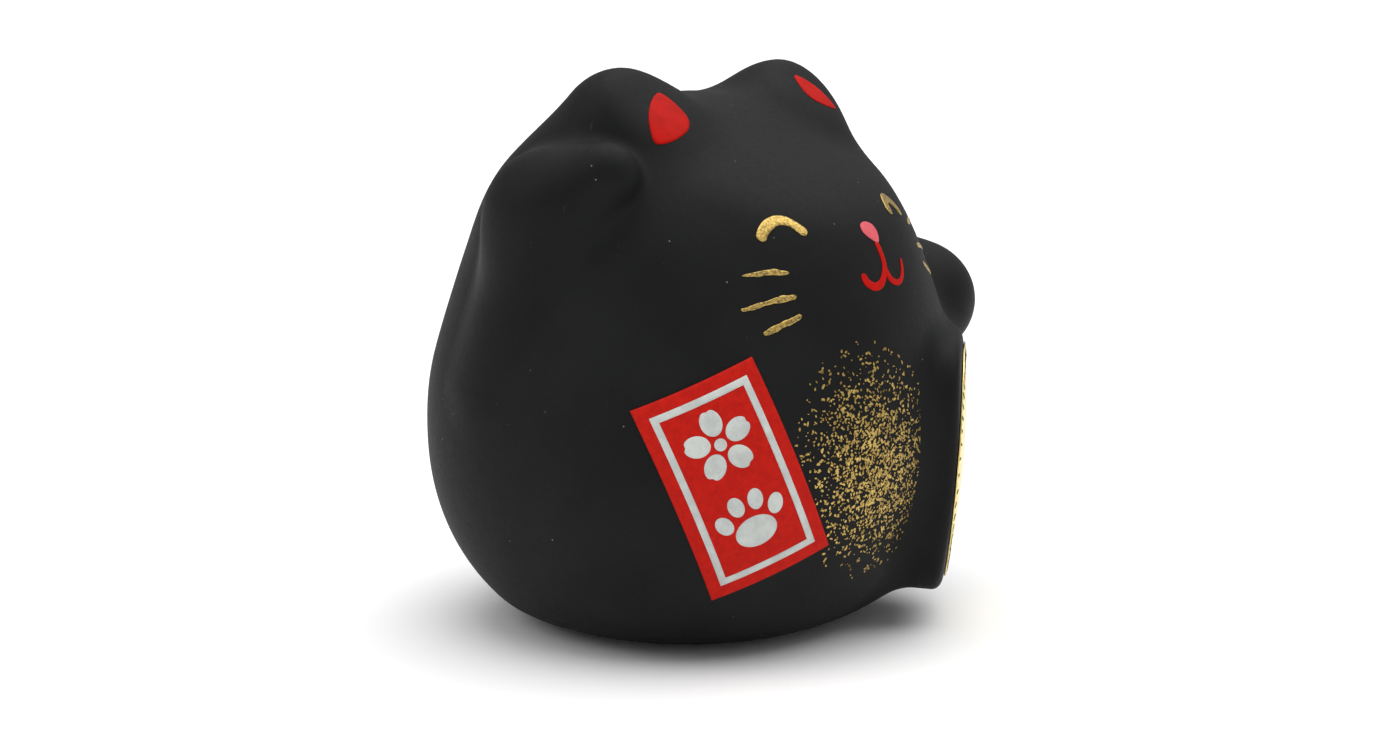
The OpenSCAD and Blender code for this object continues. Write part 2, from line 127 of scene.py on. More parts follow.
def stick(p, start, end, startRadius, endRadius):  # a rounded stick that tapers
    start, line = np.array(start, float), np.array(end, float) - np.array(start, float)
    long = np.linalg.norm(line)
    q = p - start
    along = q @ (line / long)
    out = size(q - along[..., None] * (line / long))
    fall = (startRadius - endRadius) / long
    t = np.clip((along - out * fall / math.sqrt(1 - fall * fall)) / long, 0, 1)
    return size(q - t[..., None] * line) - startRadius - t * (endRadius - startRadius)


def join(a, b, soft):
    near = np.maximum(soft - np.abs(a - b), 0) / soft
    return np.minimum(a, b) - near * near * soft / 4


def trim(a, b, soft):
    return -join(-a, -b, soft)


def slant(p, y, z, angle):
    turn = math.radians(angle)
    return (p[..., 2] - z) * math.sin(turn) - (p[..., 1] - y) * math.cos(turn)


def torso(p):
    mirrored = np.concatenate([np.abs(p[..., :1]), p[..., 1:]], -1)
    ear = stick(mirrored, ears["root"], ears["tip"], ears["rootRadius"], ears["tipRadius"])
    ear = trim(ear, slant(p, *ears["front"]), ears["rim"])
    skull = trim(oval(p, head["middle"], head["half"]), slant(p, *head["brow"]), head["browRim"])
    whole = join(fullOval(p, belly["middle"], belly["half"], belly["power"]), skull, blends["neck"])
    whole = join(whole, ear, blends["ears"])
    whole = join(whole, oval(p, face["middle"], face["half"]), blends["face"])
    return trim(whole, -p[..., 2], blends["base"])


def raisedArm(p):
    upper = stick(p, beckoning["shoulder"], beckoning["wrist"],
                  beckoning["shoulderRadius"], beckoning["wristRadius"])
    paw = stick(p, beckoning["wrist"], beckoning["paw"], beckoning["wristRadius"], beckoning["pawRadius"])
    return join(upper, paw, beckoning["blend"])


def restArm(p):
    upper = stick(p, resting["shoulder"], resting["paw"], resting["shoulderRadius"], resting["pawEnd"])
    return join(oval(p, resting["paw"], resting["pawHalf"]), upper, resting["blend"])


def tailForm(p):
    return stick(p, stubTail["root"], stubTail["tip"], stubTail["rootRadius"], stubTail["tipRadius"])


coinTurn, coinLean = math.radians(coin["turn"]), math.radians(coin["lean"])
coinLevel = np.array((math.sin(coinTurn), -math.cos(coinTurn), 0))
coinAcross = np.array((math.cos(coinTurn), math.sin(coinTurn), 0))
coinOut = coinLevel * math.cos(coinLean) + np.array((0, 0, math.sin(coinLean)))
coinUp = np.array((0, 0, math.cos(coinLean))) - coinLevel * math.sin(coinLean)
coinAt = coinLevel * coin["reach"] + np.array((0, 0, coin["middle"]))


def coinSink(a, b):  # how far the domed face falls away from its middle
    return (a * a + b * b) / (2 * coin["dome"])


def coinEdge(a, b):  # below zero inside the tablet's outline
    power = coin["power"]
    reach = (np.abs(2 * a / coin["width"]) ** power + np.abs(2 * b / coin["height"]) ** power) ** (1 / power)
    return (reach - 1) * coin["width"] / 2


def tabletForm(p):
    q = p - coinAt
    a, b, h = q @ coinAcross, q @ coinUp, q @ coinOut
    return trim(trim(coinEdge(a, b), h + coinSink(a, b), coin["rim"]), -coin["depth"] - h, 1)


def underCoin(p):  # how far the body sinks under the tablet, which keeps the fillet off the foil
    q = p - coinAt
    inward = np.clip(-coinEdge(q @ coinAcross, q @ coinUp) / coin["roomEdge"], 0, 1)
    return coin["room"] * inward * (q @ coinOut > -coin["depth"] / 2)


def outside(p):  # the whole figure with its luted joints smoothed over
    whole = join(torso(p) + underCoin(p), raisedArm(p), blends["arm"])
    whole = join(whole, restArm(p), blends["paw"])
    whole = join(whole, tabletForm(p), blends["tablet"])
    return join(whole, tailForm(p), blends["tail"])


def castForm(p):  # the figure with its hollow and the casting vent
    q = p[..., :2] - np.array(casting["ventMiddle"])
    vent = np.maximum(size(q) - casting["ventRadius"], p[..., 2] - casting["ventDepth"])
    hollow = torso(p) + casting["wall"]
    return trim(trim(outside(p), -hollow, casting["hollowRim"]), -vent, casting["ventRim"])


def slopeOf(form, p, step=0.03):
    parts = [form(p + step * np.eye(3)[k]) - form(p - step * np.eye(3)[k]) for k in range(3)]
    return np.stack(parts, -1) / (2 * step)


def unit(v):
    return v / np.maximum(size(v), 1e-12)[..., None]


def settle(form, p, rounds, reach=0.5):  # moves points onto the form's skin
    for _ in range(rounds):
        slope = slopeOf(form, p)
        move = form(p) / np.maximum((slope * slope).sum(-1), 0.05)
        p = p - slope * np.clip(move, -reach, reach)[..., None]
    return p


# ---- the cast figure: one net over all its forms, then split into its pieces ----
def netOver(form, low, high, cell):
    counts = np.ceil((high - low) / cell).astype(int) + 1
    axes = [low[k] + cell * np.arange(counts[k]) for k in range(3)]
    flatX, flatY = np.meshgrid(axes[0], axes[1], indexing="ij")
    solid = np.empty(counts, bool)
    for k, z in enumerate(axes[2]):
        solid[:, :, k] = form(np.stack([flatX, flatY, np.full_like(flatX, z)], -1)) < 0
    spans = [(slice(0, n - 1), slice(1, n)) for n in counts]
    corners = sum(solid[i, j, k].astype(np.int8) for i in spans[0] for j in spans[1] for k in spans[2])
    crossed = (corners > 0) & (corners < 8)
    number = np.full(crossed.shape, -1)
    number[crossed] = np.arange(crossed.sum())
    points = low + (np.argwhere(crossed) + 0.5) * cell
    quads = []
    for axis in range(3):
        a, b = (axis + 1) % 3, (axis + 2) % 3
        here = np.take(solid, range(counts[axis] - 1), axis)
        there = np.take(solid, range(1, counts[axis]), axis)
        for crossing, order in ((here & ~there, 1), (there & ~here, -1)):
            edge = np.argwhere(crossing)
            ring = []
            for stepA, stepB in ((-1, -1), (0, -1), (0, 0), (-1, 0)):
                at = edge.copy()
                at[:, a] += stepA
                at[:, b] += stepB
                ring.append(number[tuple(at.T)])
            quads.append(np.stack(ring, -1)[:, ::order])
    return points, np.concatenate(quads)


def relax(form, points, quads, rounds):  # evens out the net along the skin
    for _ in range(rounds):
        total, count = np.zeros_like(points), np.zeros(len(points))
        for k in range(4):
            a, b = quads[:, k], quads[:, (k + 1) % 4]
            for one, other in ((a, b), (b, a)):
                np.add.at(total, one, points[other])
                np.add.at(count, one, 1)
        points = settle(form, 0.4 * points + 0.6 * total / count[:, None], 1)
    return points


def loopsOf(faces):  # open edges of a set of faces, chained into loops
    edges = {}
    for quad in faces:
        for k in range(4):
            a, b = int(quad[k]), int(quad[(k + 1) % 4])
            if edges.get((b, a)):
                del edges[(b, a)]
            else:
                edges[(a, b)] = True
    after = {a: b for a, b in edges}
    loops = []
    while after:
        start, here = next(iter(after.items()))
        loop = [start]
        del after[start]
        while here != start and here in after:
            loop.append(here)
            here = after.pop(here)
        loops.append(loop)
    return loops


def capLoop(points, loop, seat, rings, lift):  # a closing skin that follows the seat under a piece
    rim = points[loop]
    middle = rim.mean(0)
    rows = [rim]
    for j in range(1, rings):
        t = 1 - j / rings
        ring = settle(lambda p: seat(p) - lift, middle + t * (rim - middle), 6, 4)
        rows.append(ring)
    tip = settle(lambda p: seat(p) - lift, middle[None], 8, 4)
    return rows, tip


def makeMesh(name, points, faces, normals=None):
    mesh = bpy.data.meshes.new(name)
    mesh.from_pydata((np.asarray(points) * mm).tolist(), [], [tuple(int(i) for i in f) for f in faces])
    mesh.polygons.foreach_set("use_smooth", np.ones(len(mesh.polygons), bool))
    mesh.update()
    if normals is not None:
        mesh.normals_split_custom_set_from_vertices([tuple(n) for n in normals])
    item = bpy.data.objects.new(name, mesh)
    bpy.context.scene.collection.objects.link(item)
    return item


def splitPiece(name, points, slopes, faces, seat, lift=0.0, rings=8):
    used = np.unique(faces)
    renumber = np.full(len(points), -1)
    renumber[used] = np.arange(len(used))
    own, normals, quads = points[used], slopes[used], [tuple(f) for f in renumber[faces]]
    ownPoints, ownNormals = [own], [normals]
    count = len(own)
    for loop in loopsOf(renumber[faces]):
        if len(loop) < 12:
            continue
        rows, tip = capLoop(own, loop, seat, rings, lift)
        starts, steps = [np.array(loop)], len(loop)
        for row in rows[1:]:
            starts.append(count + np.arange(steps))
            ownPoints.append(row)
            ownNormals.append(unit(slopeOf(seat, row)))
            count += steps
        ownPoints.append(tip)
        ownNormals.append(unit(slopeOf(seat, tip)))
        for a, b in zip(starts, starts[1:]):
            for k in range(steps):
                n = (k + 1) % steps
                quads.append((a[n], a[k], b[k], b[n]))
        for k in range(steps):
            quads.append((starts[-1][(k + 1) % steps], starts[-1][k], count))
        count += 1
    return makeMesh(name, np.concatenate(ownPoints), quads, np.concatenate(ownNormals))


def castPieces():
    low, high = np.array(cadBounds[0]) / mm - 2, np.array(cadBounds[1]) / mm + 2
    points, quads = netOver(castForm, low, high, casting["cell"])
    points = relax(castForm, settle(castForm, points, 3), quads, 3)
    points = settle(castForm, points, 2)
    slopes = unit(slopeOf(castForm, points))
    middles = points[quads].mean(1)
    forms = [torso, raisedArm, restArm, tabletForm, tailForm]
    values = np.stack([form(middles) for form in forms], -1)
    owner = values.argmin(-1)
    owner[values[:, 0] < -1.5] = 0
    rows = (("catBody", torso, 0), ("raisedArm", torso, 0.05), ("restingArm", torso, 0.05),
            ("coinTablet", lambda p: np.minimum(torso(p), restArm(p)), 0.05), ("stubTail", torso, 0.05))
    made = {}
    for k, (name, seat, lift) in enumerate(rows):
        made[name] = splitPiece(name, points, slopes, quads[owner == k], seat, lift)
    print("cast figure:", len(points), "points")
    return made


# ---- shaders: sockets that take part in sums, and one way to add a node ----
class Wire:
    def __init__(self, finish, socket):
        self.finish, self.socket = finish, socket

    def math(self, operation, other=0.0, swap=False):
        pair = {0: other, 1: self} if swap else {0: self, 1: other}
        return self.finish.add("ShaderNodeMath", {"operation": operation, "use_clamp": False}, pair)

    def __add__(self, other): return self.math("ADD", other)
    def __radd__(self, other): return self.math("ADD", other)
    def __sub__(self, other): return self.math("SUBTRACT", other)
    def __rsub__(self, other): return self.math("SUBTRACT", other, swap=True)
    def __mul__(self, other): return self.math("MULTIPLY", other)
    def __rmul__(self, other): return self.math("MULTIPLY", other)
    def __truediv__(self, other): return self.math("DIVIDE", other)
    def __pow__(self, other): return self.math("POWER", other)


class Finish:
    def __init__(self, name):
        self.material = bpy.data.materials.new(name)
        self.material.use_nodes = True
        self.tree = self.material.node_tree
        self.tree.nodes.clear()
        place = self.add("ShaderNodeTexCoord", {}, {}, "Object")
        self.place = self.add("ShaderNodeVectorMath", {"operation": "SCALE"},
                              {0: place, "Scale": 1 / mm})  # in millimetres

    def add(self, kind, settings, sockets, output=0):
        node = self.tree.nodes.new(kind)
        for key, value in settings.items():
            setattr(node, key, value)
        for key, value in sockets.items():
            if isinstance(value, Wire):
                self.tree.links.new(value.socket, node.inputs[key])
            else:
                node.inputs[key].default_value = value
        return Wire(self, node.outputs[output])

    def noise(self, scale, detail=3, roughness=0.5, stretch=(1, 1, 1), shift=0.0):
        place = self.place
        if stretch != (1, 1, 1) or shift:
            place = self.add("ShaderNodeMapping", {},
                             {0: place, "Scale": stretch, "Location": (shift, shift, shift)})
        return self.add("ShaderNodeTexNoise", {},
                        {"Vector": place, "Scale": scale, "Detail": detail, "Roughness": roughness})

    def specks(self, scale, shift=0.0):  # distance to the nearest point of a scatter
        place = self.add("ShaderNodeMapping", {}, {0: self.place, "Location": (shift, shift, shift)})
        return self.add("ShaderNodeTexVoronoi", {"feature": "F1"},
                        {"Vector": place, "Scale": scale, "Randomness": 1.0})

    def between(self, value, low, high):  # 0 below low, 1 above high
        return self.add("ShaderNodeMapRange", {"interpolation_type": "SMOOTHSTEP", "clamp": True},
                        {"Value": value, "From Min": low, "From Max": high})

    def tint(self, factor, first, second):
        return self.add("ShaderNodeMix", {"data_type": "RGBA"}, {0: factor, 6: first, 7: second}, 2)

    def bump(self, height, distance, strength=1.0, below=None):
        sockets = {"Height": height, "Distance": distance * mm, "Strength": strength}
        if below is not None:
            sockets["Normal"] = below
        return self.add("ShaderNodeBump", {}, sockets)

    def close(self, fixed, linked):
        node = self.tree.nodes.new("ShaderNodeBsdfPrincipled")
        for key, value in fixed.items():
            node.inputs[key].default_value = value
        for key, wire in linked.items():
            self.tree.links.new(wire.socket, node.inputs[key])
        end = self.tree.nodes.new("ShaderNodeOutputMaterial")
        self.tree.links.new(node.outputs[0], end.inputs["Surface"])
        return self.material


glaze = {"deep": (0.0044, 0.0046, 0.0048, 1), "worn": (0.0075, 0.0078, 0.0079, 1),
         "dust": (0.22, 0.22, 0.21, 1), "scuff": (0.045, 0.045, 0.043, 1),
         "clay": (0.42, 0.34, 0.26, 1), "roughness": 0.62, "specular": 0.13}


def blackGlaze():
    f = Finish("matteBlackGlaze")
    broad = f.noise(0.07, 3)
    fine = f.noise(1.6, 4, 0.6)
    grain = f.noise(9, 3, 0.6)
    colour = f.tint(f.between(broad, 0.35, 0.7), glaze["deep"], glaze["worn"])
    scrapes, handled = f.noise(0.9, 4, 0.65, (1, 1, 0.35), 11), f.noise(0.12, 2, 0.5, shift=5)
    scuffs = f.between(scrapes, 0.66, 0.74) * f.between(handled, 0.5, 0.62)
    colour = f.tint(scuffs * 0.5, colour, glaze["scuff"])
    dust = (1 - f.between(f.specks(0.42), 0.028, 0.05)) * f.between(f.noise(0.25, 2, shift=23), 0.48, 0.6)
    colour = f.tint(dust * 0.8, colour, glaze["dust"])
    height = f.add("ShaderNodeSeparateXYZ", {}, {0: f.place}, "Z")
    bare = (1 - f.between(height + fine * 0.5, 0.28, 0.5))
    colour = f.tint(bare, colour, glaze["clay"])
    rough = glaze["roughness"] + (fine - 0.5) * 0.16 + (broad - 0.5) * 0.1 + bare * 0.3
    lay = f.bump(grain, 0.02, 0.5, f.bump(fine, 0.05, 0.6, f.bump(broad, 0.35, 0.5)))
    return f.close({"Specular IOR Level": glaze["specular"]},
                   {"Base Color": colour, "Roughness": rough, "Normal": lay})


gilt = {"light": (0.62, 0.44, 0.13, 1), "dark": (0.28, 0.18, 0.045, 1), "under": (0.03, 0.028, 0.022, 1)}


def goldPaint(name, cover, grainScale=3.2):  # cover is how closely the metal powder hides the black
    f = Finish(name)
    powder = f.noise(grainScale, 3, 0.7)
    streak = f.noise(1.5, 3, 0.6, (1, 1, 3.2), 7)
    colour = f.tint(f.between(powder, 0.35, 0.66), gilt["dark"], gilt["light"])
    gap = 1 - f.between(streak * 0.55 + powder * 0.45, cover - 0.06, cover + 0.05)
    colour = f.tint(gap, colour, gilt["under"])
    rough = 0.34 + gap * 0.3 + (powder - 0.5) * 0.3
    metal = 0.85 - gap * 0.8
    lay = f.bump(powder, 0.06, 0.8, f.bump(streak, 0.08, 0.5))
    return f.close({"Specular IOR Level": 0.5},
                   {"Base Color": colour, "Roughness": rough, "Metallic": metal, "Normal": lay})


def flatPaint(name, light, dark, roughness, grainScale=2.4):
    f = Finish(name)
    broad = f.noise(0.5, 3, shift=3)
    brush = f.noise(grainScale, 3, 0.6, (1, 1, 2.6))
    colour = f.tint(f.between(broad * 0.6 + brush * 0.4, 0.36, 0.64), dark, light)
    lay = f.bump(brush, 0.05, 0.5, f.bump(broad, 0.1, 0.5))
    rough = roughness + (brush - 0.5) * 0.2
    return f.close({"Specular IOR Level": 0.08}, {"Base Color": colour, "Roughness": rough, "Normal": lay})


paper = {"light": (0.50, 0.010, 0.004, 1), "dark": (0.42, 0.007, 0.003, 1), "fibre": (0.56, 0.03, 0.018, 1),
         "roughness": 0.72}


def redPaper():
    f = Finish("redPaper")
    pulp = f.noise(1.1, 5, 0.65, shift=9)
    threads = f.noise(3.5, 2, 0.5, (1, 0.3, 2.5), 17)
    colour = f.tint(f.between(pulp, 0.35, 0.65), paper["dark"], paper["light"])
    colour = f.tint(f.between(threads, 0.62, 0.72) * 0.4, colour, paper["fibre"])
    lay = f.bump(threads, 0.03, 0.6, f.bump(pulp, 0.07, 0.6))
    rough = paper["roughness"] + (pulp - 0.5) * 0.2
    return f.close({"Specular IOR Level": 0.12}, {"Base Color": colour, "Roughness": rough, "Normal": lay})


foilTones = {"light": (0.83, 0.70, 0.28, 1), "warm": (0.74, 0.54, 0.16, 1), "roughness": 0.3}


def goldFoil():
    f = Finish("goldFoil")
    strokes = f.noise(0.55, 3, 0.6, (1, 1, 4.0), 2)
    fine = f.noise(4.5, 3, 0.6)
    colour = f.tint(f.between(strokes, 0.35, 0.65), foilTones["warm"], foilTones["light"])
    lay = f.bump(fine, 0.02, 0.6, f.bump(strokes, 0.12, 0.7))
    rough = foilTones["roughness"] + (fine - 0.5) * 0.25
    return f.close({"Metallic": 1.0}, {"Base Color": colour, "Roughness": rough, "Normal": lay})


print("finishes")
finishes = {
    "glaze": blackGlaze(),
    "eyeGold": goldPaint("eyeGold", 0.3),
    "whiskerGold": goldPaint("whiskerGold", 0.44),
    "fleckGold": goldPaint("fleckGold", 0.2, 1.4),
    "red": flatPaint("brushedRed", (0.47, 0.005, 0.002, 1), (0.38, 0.004, 0.001, 1), 0.6),
    "pink": flatPaint("brushedPink", (0.68, 0.125, 0.15, 1), (0.58, 0.09, 0.11, 1), 0.55),
    "white": flatPaint("whitePrint", (0.58, 0.61, 0.58, 1), (0.46, 0.48, 0.46, 1), 0.6, 4.0),
    "ink": flatPaint("tickInk", (0.05, 0.04, 0.03, 1), (0.03, 0.025, 0.02, 1), 0.6),
    "paper": redPaper(),
    "foil": goldFoil(),
}


def place(item, finish, slot, *nodes):
    item.data.materials.append(finishes[finish])
    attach(item, rootBody)
    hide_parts(*nodes)


print("cast figure")
cast = castPieces()
for name, node in (("catBody", "body_shell"), ("raisedArm", "beckoning_arm"), ("restingArm", "resting_arm"),
                   ("coinTablet", "coin_tablet"), ("stubTail", "tail")):
    place(cast[name], "glaze", "matte_black_ceramic", node)


# ---- films on the skin: paint, print and paper ----
facePatch = {"from": (0, 0, 0), "across": (1, 0, 0), "up": (0, 0, 1), "out": (0, -1, 0)}


def onSkin(spots, patch, lift):
    across, up = np.array(patch["across"]), np.array(patch["up"])
    start = np.array(patch["from"]) + spots[..., :1] * across + spots[..., 1:] * up
    out = np.array(patch["out"], float)
    near, far = np.zeros(spots.shape[:-1]), np.full(spots.shape[:-1], 60.0)
    for _ in range(24):
        mid = (near + far) / 2
        inside = torso(start + mid[..., None] * out) < 0
        near, far = np.where(inside, mid, near), np.where(inside, far, mid)
    p = start + near[..., None] * out
    return p + unit(slopeOf(torso, p)) * np.asarray(lift)[..., None]


def filmFaces(rows, wide, loop):
    def at(j, i, over):
        return (over * rows + j % rows) * wide + i
    faces = []
    for j in range(rows if loop else rows - 1):
        for i in range(wide - 1):
            faces.append((at(j, i, 1), at(j, i + 1, 1), at(j + 1, i + 1, 1), at(j + 1, i, 1)))
            faces.append((at(j, i, 0), at(j + 1, i, 0), at(j + 1, i + 1, 0), at(j, i + 1, 0)))
        faces.append((at(j, 0, 0), at(j, 0, 1), at(j + 1, 0, 1), at(j + 1, 0, 0)))
        faces.append((at(j, wide - 1, 0), at(j + 1, wide - 1, 0), at(j + 1, wide - 1, 1), at(j, wide - 1, 1)))
    if not loop:
        last = rows - 1
        for i in range(wide - 1):
            faces.append((at(0, i, 0), at(0, i + 1, 0), at(0, i + 1, 1), at(0, i, 1)))
            faces.append((at(last, i, 0), at(last, i, 1), at(last, i + 1, 1), at(last, i + 1, 0)))
    return faces


def film(spots, patch, under, thick, crown=0.5, loop=False):
    rows, wide = spots.shape[:2]
    across = np.linspace(-1, 1, wide)[None, :] * np.ones((rows, 1))
    along = np.zeros((rows, wide))
    if not loop:
        along += np.abs(np.linspace(-1, 1, rows))[:, None] ** 6
    dome = np.sqrt(np.maximum(1 - across ** 4, 0)) * np.sqrt(np.maximum(1 - along, 0))
    top = onSkin(spots, patch, under + thick * (1 - crown + crown * dome))
    low = onSkin(spots, patch, np.full((rows, wide), under))
    return np.concatenate([low.reshape(-1, 3), top.reshape(-1, 3)]), filmFaces(rows, wide, loop)


def gather(name, films):  # several films in one piece, each a closed skin
    points, faces, count = [], [], 0
    for p, f in films:
        points.append(p)
        faces += [tuple(i + count for i in face) for face in f]
        count += len(p)
    item = makeMesh(name, np.concatenate(points), faces)
    grown = bmesh.new()
    grown.from_mesh(item.data)
    bmesh.ops.recalc_face_normals(grown, faces=grown.faces)
    grown.to_mesh(item.data)
    grown.free()
    return item


def softCurve(knots, count):  # one soft stretch between the middle two of each four knots
    t = np.linspace(0, 1, count, endpoint=False)[:, None]
    runs = []
    for a, b, c, d in zip(knots, knots[1:], knots[2:], knots[3:]):
        runs.append(0.5 * (2 * b + (c - a) * t + (2 * a - 5 * b + 4 * c - d) * t ** 2
                           + (3 * b - a - 3 * c + d) * t ** 3))
    return np.vstack(runs)


def smoothPath(knots, count):  # spots on a soft curve through the knots, closer together at its ends
    knots = np.array(knots, float)
    ends = np.vstack([2 * knots[0] - knots[1], knots, 2 * knots[-1] - knots[-2]])
    run = np.vstack([softCurve(ends, 24), knots[-1:]])
    walked = np.concatenate([[0], np.cumsum(size(np.diff(run, axis=0)))])
    total = walked[-1]
    u = 0.5 - 0.5 * np.cos(math.pi * np.linspace(0, 1, count))
    return np.stack([np.interp(u * total, walked, run[:, k]) for k in range(2)], -1), u * total, total


def wobble(steps, amount, seed):  # a gentle unevenness along a brushed edge
    draw = np.random.RandomState(seed)
    total = np.zeros(len(steps))
    for k in range(1, 6):
        total += np.sin(steps * k * 1.3 + draw.uniform(0, 6.3)) * draw.uniform(0.4, 1) / k
    return amount * total


def stroke(knots, width, patch, seed, ends=(1, 1), thick=0.09, under=0.01, rough=0.03, wide=9, count=60):
    path, walked, total = smoothPath(knots, count)
    step = np.gradient(path, axis=0)
    step = step / np.maximum(size(step), 1e-9)[:, None]
    side = np.stack([-step[:, 1], step[:, 0]], -1)
    halves = np.interp(np.linspace(0, 1, count), np.linspace(0, 1, len(width)), width) / 2
    rounded = np.ones(count)
    for away, end in ((walked, ends[0]), (total - walked, ends[1])):
        share = np.clip(away / (halves * end + 1e-6), 0, 1)
        rounded = rounded * np.sqrt(np.clip(1 - (1 - share) ** 2, 0, 1))
    half = np.maximum(halves * rounded, 0.02)
    left = path + side * (half + wobble(walked, rough, seed) * rounded)[:, None]
    right = path - side * (half + wobble(walked, rough, seed + 50) * rounded)[:, None]
    mixAt = np.linspace(0, 1, wide)[None, :, None]
    return film(left[:, None] + (right - left)[:, None] * mixAt, patch, under, thick)


def patchFilm(outline, patch, under, thick, rings=7, crown=0.5):  # a filled shape inside a closed outline
    outline = np.array(outline)
    middle = outline.mean(0)
    t = np.linspace(1, 0.04, rings)
    spots = middle + t[None, :, None] * (outline - middle)[:, None]
    rows, wide = spots.shape[:2]
    dome = np.sqrt(np.maximum(1 - t ** 6, 0))[None, :] * np.ones((rows, 1))
    top = onSkin(spots, patch, under + thick * (1 - crown + crown * dome))
    low = onSkin(spots, patch, np.full((rows, wide), float(under)))
    faces = filmFaces(rows, wide, True)
    points = np.concatenate([low.reshape(-1, 3), top.reshape(-1, 3)])
    inner = [[(over * rows + j) * wide + wide - 1 for j in range(rows)] for over in (0, 1)]
    faces = [f for f in faces if not all(i % wide == wide - 1 for i in f)]
    return points, faces + [tuple(inner[1]), tuple(reversed(inner[0]))]


def closedCurve(knots, count):  # a soft closed outline through the knots
    knots = list(knots)
    return softCurve(np.array(knots[-1:] + knots + knots[:2], float), count)


def within(node, flip=1):  # turns shares of a node's box into spots on the face patch
    low, high = boxOf(node)
    middle, half = (low + high) / 2, (high - low) / 2
    return lambda a, b: (middle[0] + flip * a * half[0], middle[2] + b * half[2])


print("painted face")
eyes = {"knots": ((-0.82, -0.72), (-0.55, 0.0), (-0.06, 0.5), (0.42, 0.42), (0.86, -0.42)),
        "width": (1.0, 1.1, 1.05, 1.2, 1.2), "inner": 0.86, "drop": -0.32, "thick": 0.1,
        "rows": (("rightEye", "right_eye_paint", 1, 3, 1), ("leftEye", "left_eye_paint", -1, 4, 0.7))}
for name, node, flip, seed, broad in eyes["rows"]:
    at = within(node, flip)
    knots = [at(eyes["inner"] + broad * (a - eyes["inner"]), b + eyes["drop"]) for a, b in eyes["knots"]]
    item = gather(name, [stroke(knots, eyes["width"], facePatch, seed, thick=eyes["thick"])])
    place(item, "eyeGold", "gold_paint", node)

nose = {"knots": ((0.45, -0.72), (0.9, -0.1), (0.75, 0.5), (0.0, 0.76), (-0.75, 0.6), (-0.9, 0.1),
                  (-0.35, -0.4)), "under": 0.03, "thick": 0.12}
at = within("nose_paint")
outline = closedCurve([at(*k) for k in nose["knots"]], 6)
item = gather("noseDab", [patchFilm(outline, facePatch, nose["under"], nose["thick"])])
place(item, "pink", "pink_paint", "nose_paint")

mouth = {
    "main": (((0.06, 1.08), (0.08, 0.5), (0.02, -0.05), (-0.23, -0.56), (-0.54, -0.72), (-0.8, -0.52),
              (-0.9, -0.14)),
             (0.85, 0.85, 0.9, 1.05, 1.0)),
    "side": (((0.02, -0.05), (0.17, -0.55), (0.5, -0.7), (0.78, -0.4), (0.96, 0.2)),
             (0.8, 0.85, 0.7, 0.55, 0.35)),
    "rise": 0.2,
}
at = within("mouth_paint")
films = []
for j, (knots, width) in enumerate((mouth["main"], mouth["side"])):  # the second stroke lies over the first
    films.append(stroke([at(a, b + mouth["rise"]) for a, b in knots], width, facePatch, 8 + j,
                        thick=0.08 + 0.015 * j, under=0.01 + 0.002 * j))
place(gather("mouthLine", films), "red", "red_paint", "mouth_paint")

whiskers = {"rows": (((-0.62, 0.83), (0.1, 0.9), (0.97, 0.87), (0.2, 0.45, 0.7, 0.35)),
                     ((-0.99, -0.2), (0.0, 0.02), (0.96, 0.16), (0.2, 0.5, 0.7, 0.35)),
                     ((-0.52, -0.93), (0.25, -0.68), (0.97, -0.42), (0.2, 0.65, 0.75, 0.35))),
            "farRise": 0.4, "thick": 0.07, "rough": 0.07, "ends": (1.6, 1.6)}
for name, node, flip, seed in (("rightWhiskers", "right_whisker_paint", 1, 20),
                               ("leftWhiskers", "left_whisker_paint", -1, 30)):
    at = within(node, flip)
    rise = whiskers["farRise"] if flip < 0 else 0
    films = [stroke([at(a, b + rise) for a, b in row[:3]], row[3], facePatch, seed + 2 * j,
                    thick=whiskers["thick"], rough=whiskers["rough"], ends=whiskers["ends"])
             for j, row in enumerate(whiskers["rows"])]
    place(gather(name, films), "whiskerGold", "gold_paint", node)

earRed = {"knots": ((0.6, 0.96), (0.86, 0.55), (0.95, 0.0), (0.62, -0.42), (0.0, -0.72), (-0.6, -0.92),
                    (-0.92, -0.9), (-0.9, -0.5), (-0.68, 0.05), (-0.3, 0.5), (0.2, 0.86)),
          "tip": (0.4, 1), "under": 0.01, "thick": 0.08}
for name, node, flip, share in (("rightEarRed", "right_ear_paint", 1, 1),
                                ("leftEarRed", "left_ear_paint", -1, 0.76)):
    at = within(node, flip)
    tipA, tipB = earRed["tip"]
    knots = [at(tipA + share * (a - tipA), tipB + share * (b - tipB)) for a, b in earRed["knots"]]
    item = gather(name, [patchFilm(closedCurve(knots, 8), facePatch, earRed["under"], earRed["thick"], 9)])
    place(item, "red", "red_paint", node)

print("paper label")
label = {"turn": 37, "lean": 23, "start": (-4.2, 0, 24), "width": 15.5, "length": 25.5,
         "under": 0.03, "thick": 0.2,
         "inset": 1.55, "line": 0.85, "ink": 0.03}
turn, lean = math.radians(label["turn"]), math.radians(label["lean"])
labelSide = np.array((math.cos(turn), -math.sin(turn), 0))
labelPatch = {"from": label["start"], "out": (-math.sin(turn), -math.cos(turn), 0),
              "across": labelSide * math.cos(lean) + np.array((0, 0, math.sin(lean))),
              "up": np.array((0, 0, math.cos(lean))) - labelSide * math.sin(lean)}
gridX, gridY = np.linspace(-0.5, 0.5, 40) * label["width"], np.linspace(-0.5, 0.5, 64) * label["length"]
grid = np.stack(np.meshgrid(gridX, gridY), -1)
item = gather("fortuneLabel", [film(grid, labelPatch, label["under"], label["thick"], 0.0)])
place(item, "paper", "red_paper", "fortune_label")
inkUnder = label["under"] + label["thick"] + 0.005


